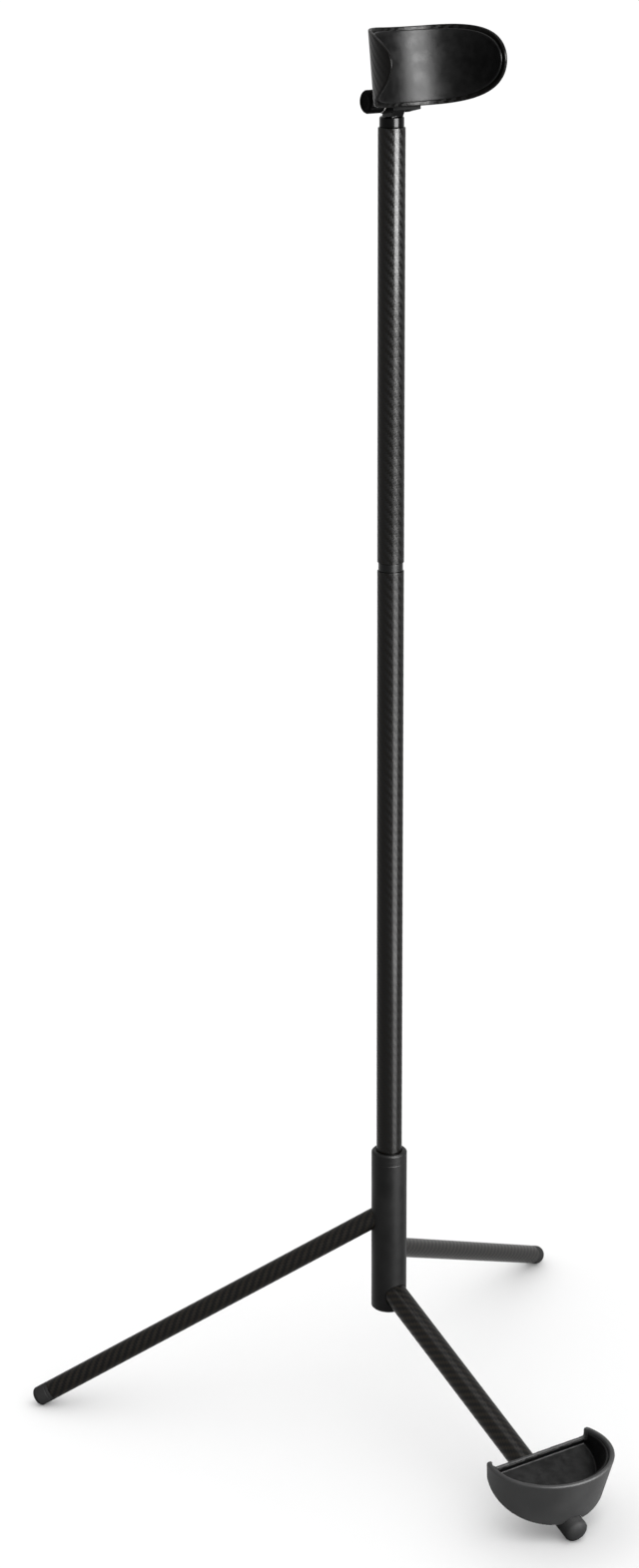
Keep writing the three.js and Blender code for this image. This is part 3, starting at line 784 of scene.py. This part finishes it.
def add_ferrule():
    node = "mast_ferrule"
    bottom, top, _, ring = span(node, mast)
    ring_low = span("lower_mast_tube", mast)[1] + GAP
    ring_high = span("upper_mast_tube", mast)[0] - GAP
    profile = [(FERRULE_BORE, bottom), (SPIGOT_RADIUS, bottom), (SPIGOT_RADIUS, ring_low), (ring, ring_low),
               (ring, ring_high), (SPIGOT_RADIUS, ring_high)]
    profile += spigot_grooves("ferrule")
    profile += [(SPIGOT_RADIUS, top - CHAMFER), (SPIGOT_RADIUS - CHAMFER, top), (FERRULE_BORE, top)]
    finished(turned(named(node), rounded(profile, EDGE, closed=True), mast), node, "ferrule")


def bolt_bore():
    """Cuts the tilt stud's hole through a piece."""
    return bar("bore", BOLT_BORE, -BORE_REACH, BORE_REACH, bolt)


def add_neck():
    """A stem that plugs into the mast, a short barrel and the hinge tongue above it."""
    node = "neck_stem"
    bottom = span(node, mast)[0]
    shoulder = span("upper_mast_tube", mast)[1] + GAP
    profile = [(0, bottom), (SPIGOT_RADIUS - CHAMFER, bottom), (SPIGOT_RADIUS, bottom + CHAMFER)]
    profile += spigot_grooves("neck")
    profile += [(SPIGOT_RADIUS, shoulder), (BARREL_RADIUS, shoulder), (BARREL_RADIUS, BARREL_TOP - CHAMFER),
                (BARREL_RADIUS - CHAMFER, BARREL_TOP), (0, BARREL_TOP)]
    stem = turned(named(node), rounded(profile, EDGE), mast)
    pivot = Vector(joints["cradle_tilt"]["pos_m"]) - mast_foot
    root = BARREL_TOP - TONGUE_ROOT
    outline = [(-TONGUE_ROOT_HALF, root), (TONGUE_ROOT_HALF, root)]
    outline += arc((pivot.y, pivot.z), TONGUE_RADIUS, *TONGUE_ARC, 40)
    tongue = prism("tongue", outline, -TONGUE_HALF, TONGUE_HALF, Matrix.Translation(mast_foot) @ sideways)
    combined(stem, "UNION", tongue)
    cut(stem, bolt_bore())
    finished(moulded(stem, 0.28 * MM, 4, 0.4), node, "neck_metal")


# ---- cradle, in the hinge's own frame: -Y points into the opening ----
def band_height(angle, radius, margin):
    """Half height of the band at an angle from its back: full at the back, narrowing to the tips."""
    depth = min(1.0, (TIP_REACH - margin + radius * math.cos(angle)) / TIP_LENGTH)
    turn = math.acos((1 - depth) ** (1 / TIP_CURVE))
    return (BAND_HALF_HEIGHT - margin) * math.sin(turn) ** TIP_CURVE


def band_columns(radius, margin):
    """Places across the band from tip to tip: (angle from the back, half height)."""
    tip = TIP_REACH - margin
    back_edge = math.acos(min(math.cos(BACK_ANGLE), (TIP_LENGTH - tip) / radius))
    depth = min(1.0, (tip + radius * math.cos(back_edge)) / TIP_LENGTH)
    last_turn = math.acos((1 - depth) ** (1 / TIP_CURVE))
    arm = []
    for k in range(ARM_STEPS):
        turn = last_turn * k / ARM_STEPS
        forward = tip - TIP_LENGTH * (1 - math.cos(turn) ** TIP_CURVE)
        angle = math.acos(-forward / radius)
        arm.append((angle, (BAND_HALF_HEIGHT - margin) * math.sin(turn) ** TIP_CURVE))
    turns = [back_edge * (1 - k / BACK_STEPS) for k in range(2 * BACK_STEPS + 1)]
    back = [(angle, band_height(angle, radius, margin)) for angle in turns]
    return arm + back + [(-angle, height) for angle, height in reversed(arm)]


def inset_columns(columns, radius, distance):
    """The columns with their outline moved in by a distance, along the band's own surface."""
    points = [Vector((angle * radius, height)) for angle, height in columns]
    moved = []
    for k, point in enumerate(points):
        before = points[k - 1] if k else Vector((points[1].x, -points[1].y))
        after = points[k + 1] if k + 1 < len(points) else Vector((points[-2].x, -points[-2].y))
        run = (after - before).normalized()
        inward = Vector((run.y, -run.x))
        if inward.dot(Vector((-point.x, -point.y))) < 0:
            inward.negate()
        place = point + inward * distance
        end = k in (0, len(points) - 1)
        moved.append((place.x / radius, 0.0 if end else max(place.y, 0.02 * MM)))
    return moved


def band(name, inner, outer, margin, edge, rows=18):
    """The C-shaped band between two radii, with rounded edges and tips."""
    thickness = outer - inner
    middle = (inner + outer) / 2
    columns = band_columns(outer, margin)
    bends = [math.radians(90 * k / EDGE_STEPS) for k in range(EDGE_STEPS + 1)]
    eased = [(edge * (1 - math.cos(a)), thickness / 2 - edge + edge * math.sin(a)) for a in bends]
    layers = eased[::-1] + [(inset, -offset) for inset, offset in eased]
    mesh_work = bmesh.new()
    layer = mesh_work.loops.layers.uv.new(UV)
    flat = {}

    def corner(angle, z, offset):
        radius = middle + offset
        place = Vector((-radius * math.sin(angle), BAND_AXIS + radius * math.cos(angle), z + BAND_RISE))
        vertex = mesh_work.verts.new(hinge @ place)
        flat[vertex] = (angle * middle / MM, z / MM)
        return vertex

    def face(*vertices):
        made_face = mesh_work.faces.new(vertices)
        for loop in made_face.loops:
            loop[layer].uv = flat[loop.vert]

    loops = []
    for inset, offset in layers:
        moved = inset_columns(columns, middle, inset)
        upper = [corner(angle, height, offset) for angle, height in moved]
        lower = [corner(angle, -height, offset) for angle, height in moved[1:-1]]
        loops.append((moved, upper, lower, upper + lower[::-1]))
    for (_, _, _, first), (_, _, _, second) in zip(loops, loops[1:]):
        for k in range(len(first)):
            n = (k + 1) % len(first)
            face(first[k], first[n], second[n], second[k])
    for (moved, upper, lower, _), (_, offset) in ((loops[0], layers[0]), (loops[-1], layers[-1])):
        grid = [[upper[0]]]
        for (angle, height), top, foot in zip(moved[1:-1], upper[1:-1], lower):
            inside = [corner(angle, height * (1 - 2 * j / rows), offset) for j in range(1, rows)]
            grid.append([top, *inside, foot])
        grid.append([upper[-1]])
        for left, right in zip(grid, grid[1:]):
            for j in range(rows):
                around = [left[min(j, len(left) - 1)], left[min(j + 1, len(left) - 1)],
                          right[min(j + 1, len(right) - 1)], right[min(j, len(right) - 1)]]
                face(*dict.fromkeys(around))
    return made(name, mesh_work, sharp=70)


screw_face = BAND_AXIS + math.sqrt((BAND_RADIUS - BAND_WALL) ** 2 - SCREW_X ** 2)
screw_head = screw_face + SCREW_RECESS


def screw_line(side):
    """A cradle screw runs straight back, from the band into the bracket."""
    return hinge @ line((side * SCREW_X, 0, SCREW_Z), (0, 1, 0))


def screw_cutter(side):
    """The countersunk hole of a cradle screw."""
    head, shank = SCREW_HEAD + GAP, SCREW_RADIUS + GAP
    cone = screw_head + SCREW_HEAD - SCREW_RADIUS + GAP
    tip = screw_head + SCREW_LENGTH + GAP
    profile = [(0, screw_face - 4 * MM), (head, screw_face - 4 * MM), (head, screw_head), (shank, cone),
               (shank, tip), (0, tip)]
    return turned("screw_hole", profile, screw_line(side), 32)


def hexagon(flats):
    """Outline of a hexagon of a size across its flats."""
    return arc((0, 0), flats / math.sqrt(3), 0, 2 * math.pi * 5 / 6, 5)


def add_screw(node, side):
    """A countersunk screw with a hexagon socket and a threaded shank."""
    along = screw_line(side)
    cone = screw_head + SCREW_HEAD - SCREW_RADIUS
    tip = screw_head + SCREW_LENGTH
    profile = [(0, screw_head), (SCREW_HEAD, screw_head), (SCREW_RADIUS, cone)]
    turns, _ = thread(SCREW_RADIUS, SCREW_THREAD, cone + SCREW_THREAD[0], tip - 0.4 * MM)
    profile += [*turns, (SCREW_RADIUS - 0.3 * MM, tip), (0, tip)]
    screw = turned(named(node), profile, along, 40)
    socket = prism("hex_socket", hexagon(HEX_SOCKET), screw_head - 1 * MM, screw_head + 1 * MM, along)
    finished(cut(screw, socket), node, "fastener_steel")


def add_cradle():
    shell = band(named("cradle_shell"), BAND_RADIUS - BAND_WALL, BAND_RADIUS, 0, SHELL_EDGE)
    cut(shell, screw_cutter(-1), screw_cutter(1))
    finished(smoothed(shell, 70), "cradle_shell", "cradle_shell")
    outer = BAND_RADIUS - BAND_WALL - GAP
    lining = band(named("cradle_lining"), outer - LINING, outer, LINING_MARGIN, LINING_EDGE)
    finished(lining, "cradle_lining", "soft_lining")


def add_bracket():
    """The moulded bracket behind the band: a curved pad with two ears for the tilt hinge."""
    node = "cradle_bracket"
    face = BAND_RADIUS + GAP
    half = math.asin(EAR_OUTER / face)
    low, high = math.pi / 2 - half, math.pi / 2 + half
    inside = arc((0, BAND_AXIS), face - PAD_INSET, high, low)
    outline = inside + arc((0, BAND_AXIS), face + PAD_THICKNESS, low, high)
    bracket = prism(named(node), outline, PAD_BOTTOM, PAD_TOP, hinge)
    core = bar("core", face, -60 * MM, 80 * MM, hinge @ Matrix.Translation((0, BAND_AXIS, 0)), 256)
    ear = [(EAR_ROOT, PAD_BOTTOM), (EAR_HEEL, PAD_BOTTOM), (EAR_THROAT, -EAR_RADIUS * 0.97),
           *arc((0, 0), EAR_RADIUS, -math.pi / 2, math.pi / 2 - 0.5),
           (EAR_CROWN, PAD_TOP), (EAR_ROOT, PAD_TOP)]
    for start, end in ((-EAR_OUTER, -EAR_INNER), (EAR_INNER, EAR_OUTER)):
        combined(bracket, "UNION", prism("ear", ear, start, end, hinge @ sideways))
    nut_start = span("tilt_nut", bolt)[0] - GAP
    pocket = prism("pocket", hexagon(NUT_FLATS + 2 * GAP), nut_start, nut_start + 10 * MM, bolt)
    cut(bracket, core, bolt_bore(), pocket, screw_cutter(-1), screw_cutter(1))
    finished(moulded(bracket, 0.25 * MM, 4, 0.4), node, "bracket_plastic")


def add_nut():
    """A hexagon nut with turned-off corners."""
    node = "tilt_nut"
    start, end, _, outer = span(node, bolt)
    nut = prism(named(node), hexagon(NUT_FLATS), start, end, bolt)
    flat = NUT_FLATS / 2 * NUT_BEVEL
    slope = (outer - flat) * math.tan(math.radians(30))
    barrel = turned("barrel", [(0, start), (flat, start), (outer + 0.01 * MM, start + slope),
                               (outer + 0.01 * MM, end - slope), (flat, end), (0, end)], bolt)
    combined(nut, "INTERSECT", barrel)
    cut(nut, bolt_bore())
    finished(nut, node, "fastener_steel")


def add_stud():
    """The clamp stud, threaded towards the nut."""
    node = "tilt_stud"
    start, end, _, radius = span(node, bolt)
    turns, last = thread(radius, STUD_THREAD, start + STUD_PLAIN, end - 0.6 * MM)
    profile = [(0, start), (radius - SOFT_EDGE, start), (radius, start + SOFT_EDGE), *turns,
               (radius, last), (radius - 0.5 * MM, end), (0, end)]
    finished(turned(named(node), profile, bolt, 48), node, "fastener_steel")


def fluted(knob_radius):
    """The side of a knob, cut by its finger flutes: a radius at each angle."""
    pitch = 2 * math.pi / KNOB_FLUTES

    def side(angle, radius):
        away = abs((angle + pitch / 2) % pitch - pitch / 2) * knob_radius
        if radius < knob_radius - 1.3 * MM or away > FLUTE_RADIUS:
            return radius
        return min(radius, knob_radius + FLUTE_OUT - math.sqrt(FLUTE_RADIUS ** 2 - away ** 2))

    return side


def add_knob():
    """A round knob with finger flutes, a dished end and a blind hole for the stud."""
    node = "tilt_knob"
    start, end, _, radius = span(node, bolt)
    dish = radius * KNOB_DISH
    tip = span("tilt_stud", bolt)[0] - 0.4 * MM
    profile = [(0, start + 0.5 * MM), (dish - 0.8 * MM, start + 0.5 * MM), (dish, start),
               (radius - 1.2 * MM, start), (radius, start + 1.2 * MM), (radius, end - 0.6 * MM),
               (radius - 0.6 * MM, end), (BOLT_BORE, end), (BOLT_BORE, tip), (0, tip)]
    knob = turned(named(node), rounded(profile, 0.5 * MM), bolt, 240, fluted(radius))
    finished(knob, node, "knob_plastic")


def add_washer(node, slot):
    start, end, inner, outer = span(node, bolt)
    finished(sleeve(named(node), inner, outer, start, end, bolt, 0.15 * MM, 72), node, slot)


# ---- cup, in the stand's own millimetres, then turned a little about the front leg ----
def about_front_leg():
    leg = legs["front"]
    turn = leg @ Matrix.Rotation(CUP_ROLL, 4, "Z") @ leg.inverted()
    return turn @ Matrix.Translation(mast_foot)


cup_frame = about_front_leg()


def cup_back(edge):
    return edge["middle"] - (edge["front"] - edge["middle"]) * math.sin(CUP_CURL)


def cup_outline(edge, inset, rise, steps=72):
    """Outline from horn to horn: an ellipse that curls in at both ends, closed by the cup's straight back."""
    back = cup_back(edge)
    points = []
    for k in range(steps + 1):
        angle = (math.pi + 2 * CUP_CURL) * k / steps - CUP_CURL
        reach = max(edge["middle"] + (edge["front"] - edge["middle"] - inset) * math.sin(angle), back + inset)
        side = CUP_SIDE + (edge["half_width"] - inset) * math.cos(angle)
        share = (reach - back) / (edge["front"] - back)
        z = edge["back_z"] + (edge["front_z"] - edge["back_z"]) * share
        points.append(Vector((side, -reach, z + rise)) * MM)
    return points


def cup_hollow(inset):
    """The hollow of the cup at a wall thickness in millimetres, carried straight up past the rim."""
    loops = [cup_outline(CUP_BASE, inset, inset * 1.15), cup_outline(CUP_RIM, inset, 0),
             cup_outline(CUP_RIM, inset, 12)]
    return loft("hollow", loops, cup_frame)


def cup_back_cut():
    """Everything between the horns above the low back edge."""
    half = (CUP_RIM["half_width"] * math.cos(CUP_CURL)) * MM - CUP_WALL
    middle = (3 - cup_back(CUP_RIM)) * MM
    side = CUP_SIDE * MM
    low = (side - half, middle - 8 * MM, CUP_LIP)
    return block("back_cut", low, (side + half, middle + 8 * MM, CUP_LIP + 40 * MM), cup_frame)


def along_front_leg(radius, start_reach, end_reach):
    """A bar along the front leg, between two level distances from the mast axis."""
    leg = legs["front"]
    drop = -leg.col[2].y
    middle_reach = mast_foot.y - leg.translation.y
    start, end = ((reach - middle_reach) / drop for reach in (start_reach, end_reach))
    return bar("leg_bar", radius, start, end, leg)


def set_screw_line():
    """The set screw points up at the front leg from below, square to it."""
    leg = legs["front"]
    low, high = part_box("cup_set_screw")
    middle = (low + high) / 2
    away = middle - leg.translation
    axis = Vector(leg.col[2][:3])
    outwards = (away - axis * away.dot(axis)).normalized()
    return line(middle - outwards * outwards.dot(middle - leg.translation), outwards)


def add_cup():
    leg_radius = span("front_leg_tube", legs["front"])[3]
    outside = leg_radius + GAP + SLEEVE_WALL
    node = "cup_shell"
    shell = loft(named(node), [cup_outline(CUP_BASE, 2.5, -1.4), cup_outline(CUP_BASE, 0, 0),
                               cup_outline(CUP_RIM, 0, -1), cup_outline(CUP_RIM, 1, 0)], cup_frame)
    saddle = along_front_leg(outside, SLEEVE_START, CUP_RIM["front"] * MM)
    combined(saddle, "INTERSECT", duplicate(shell))
    cut(shell, cup_hollow(CUP_WALL / MM), cup_back_cut())
    combined(shell, "UNION", saddle)
    combined(shell, "UNION", along_front_leg(outside, SLEEVE_START, SLEEVE_END))
    hole = bar("screw_hole", SET_SCREW_HOLE, leg_radius - 1 * MM, outside + 4 * MM, set_screw_line(), 48)
    cut(shell, along_front_leg(leg_radius + GAP, *LEG_CUT), hole)
    finished(moulded(shell, 0.5 * MM, 5, 0.3), node, "cup_shell")


def duplicate(piece):
    """A copy of a piece with a mesh of its own."""
    copy = bpy.data.objects.new(piece.name + "_copy", piece.data.copy())
    bpy.context.scene.collection.objects.link(copy)
    return copy


def add_cup_lining():
    leg_radius = span("front_leg_tube", legs["front"])[3]
    node = "cup_lining"
    outside = (CUP_WALL + GAP) / MM
    lining = cup_hollow(outside)
    lining.name = named(node)
    top = (CUP_RIM["back_z"] - 2) * MM
    above = block("above", (-0.1, -0.3, top), (0.1, -0.1, top + 60 * MM), cup_frame)
    cut(lining, cup_hollow(outside + LINING / MM), above, cup_back_cut())
    cut(lining, along_front_leg(leg_radius + 2 * GAP + SLEEVE_WALL, *LEG_CUT))
    finished(moulded(lining, 0.4 * MM, 3, 0.3), node, "soft_lining")


def add_set_screw():
    """A headless screw with a hexagon socket."""
    node = "cup_set_screw"
    along = set_screw_line()
    start, end, _, radius = span(node, along)
    turns, last = thread(radius, SET_SCREW_THREAD, start + 0.6 * MM, end - 0.5 * MM)
    profile = [(0, start), (radius - SOFT_EDGE, start), (radius, start + SOFT_EDGE), *turns,
               (radius, last), (radius - SOFT_EDGE, end), (0, end)]
    screw = turned(named(node), profile, along, 40)
    socket = prism("hex_socket", hexagon(HEX_SOCKET), end - 1.6 * MM, end + 1 * MM, along)
    finished(cut(screw, socket), node, "fastener_steel")


def build_stand():
    add_hub()
    add_ring("hub_o_ring", mast)
    for name, along in legs.items():
        add_tube(f"{name}_leg_tube", along)
        add_foot(name)
        add_ring(f"{name}_leg_o_ring", along)
    for node in ("lower_mast_tube", "upper_mast_tube"):
        add_tube(node, mast)
    add_ferrule()
    add_neck()
    for owner in ("ferrule", "neck"):
        for number in (1, 2):
            add_ring(f"{owner}_o_ring_{number}", mast)
    add_cradle()
    add_bracket()
    add_screw("cradle_screw_left", -1)
    add_screw("cradle_screw_right", 1)
    add_nut()
    add_stud()
    add_knob()
    add_washer("knob_washer", "fastener_steel")
    add_washer("tilt_washer_left", "washer_nylon")
    add_washer("tilt_washer_right", "washer_nylon")
    add_cup()
    add_cup_lining()
    add_set_screw()


# ---- studio ----
def add_floor():
    """A pale, matte studio floor."""
    mesh_work = bmesh.new()
    bmesh.ops.create_grid(mesh_work, x_segments=8, y_segments=8, size=90)
    floor = made("floor", mesh_work)
    finish = Finish("studio_floor")
    cloud = finish.noise(1.5, 3.0)
    floor.data.materials.append(finish.set(
        base_color=finish.blend(finish.between(cloud), grey(0.86), grey(0.88)),
        roughness=finish.between(cloud, 0.3, 0.7, 0.82, 0.9),
        specular_ior_level=0.2,
        normal=finish.bump(finish.noise(900.0, 2.0), 0.02 * MM, 0.3),
    ))


def add_light(name, place, target, size, power, card=False):
    """A soft rectangular lamp that lights only the stand. A card shows there only as its gloss."""
    data = bpy.data.lights.new(name, "AREA")
    data.shape = "RECTANGLE"
    data.size, data.size_y = size
    data.energy = power
    lamp = bpy.data.objects.new(name, data)
    lamp.location = place
    lamp.rotation_mode = "QUATERNION"
    lamp.rotation_quaternion = (Vector(target) - Vector(place)).to_track_quat("-Z", "Y")
    lamp.visible_camera = False
    lamp.visible_diffuse = not card
    lamp.light_linking.receiver_collection = stand_collection
    bpy.context.scene.collection.objects.link(lamp)


def collect_stand():
    """A collection of every piece of the stand, which the lamps are linked to."""
    collection = bpy.data.collections.new("stand")
    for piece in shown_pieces():
        collection.objects.link(piece)
    return collection


def add_world(strength):
    world = bpy.data.worlds.new("studio")
    world.use_nodes = True
    background = world.node_tree.nodes["Background"]
    background.inputs["Color"].default_value = (1, 1, 1, 1)
    background.inputs["Strength"].default_value = strength
    bpy.context.scene.world = world


def add_camera():
    """Looks at the stand from its front left, from a little above the cradle."""
    data = bpy.data.cameras.new("camera")
    data.lens = CAMERA_LENS
    data.sensor_width = 36
    data.clip_start, data.clip_end = 0.05, 200
    camera = bpy.data.objects.new("camera", data)
    heading, pitch, roll = (math.radians(angle) for angle in CAMERA_TURN)
    level = Matrix.Rotation(heading, 4, "Z")
    aim = level @ Matrix.Rotation(pitch, 4, "X") @ Matrix.Rotation(roll, 4, "Z")
    camera.matrix_world = Matrix.Translation(CAMERA_PLACE) @ aim
    bpy.context.scene.collection.objects.link(camera)
    bpy.context.scene.camera = camera


def add_studio():
    add_floor()
    add_world(1.2)
    add_light("key", (0.25, -1.25, 1.25), (0, 0.05, 0.9), (0.9, 1.4), 380, card=True)
    add_light("low", (0.2, -0.75, 0.22), (0, 0.05, 0.35), (0.6, 0.42), 16, card=True)
    add_light("near", (0.12, -0.31, 0.12), (0, 0.05, 0.27), (0.24, 0.2), 1.7, card=True)
    add_light("top", (-0.2, 0.6, 2.6), (0, 0, 0.3), (1.6, 1.6), 25)
    bpy.context.scene.view_settings.view_transform = "Standard"


add_camera()
build_stand()
stand_collection = collect_stand()
add_studio()
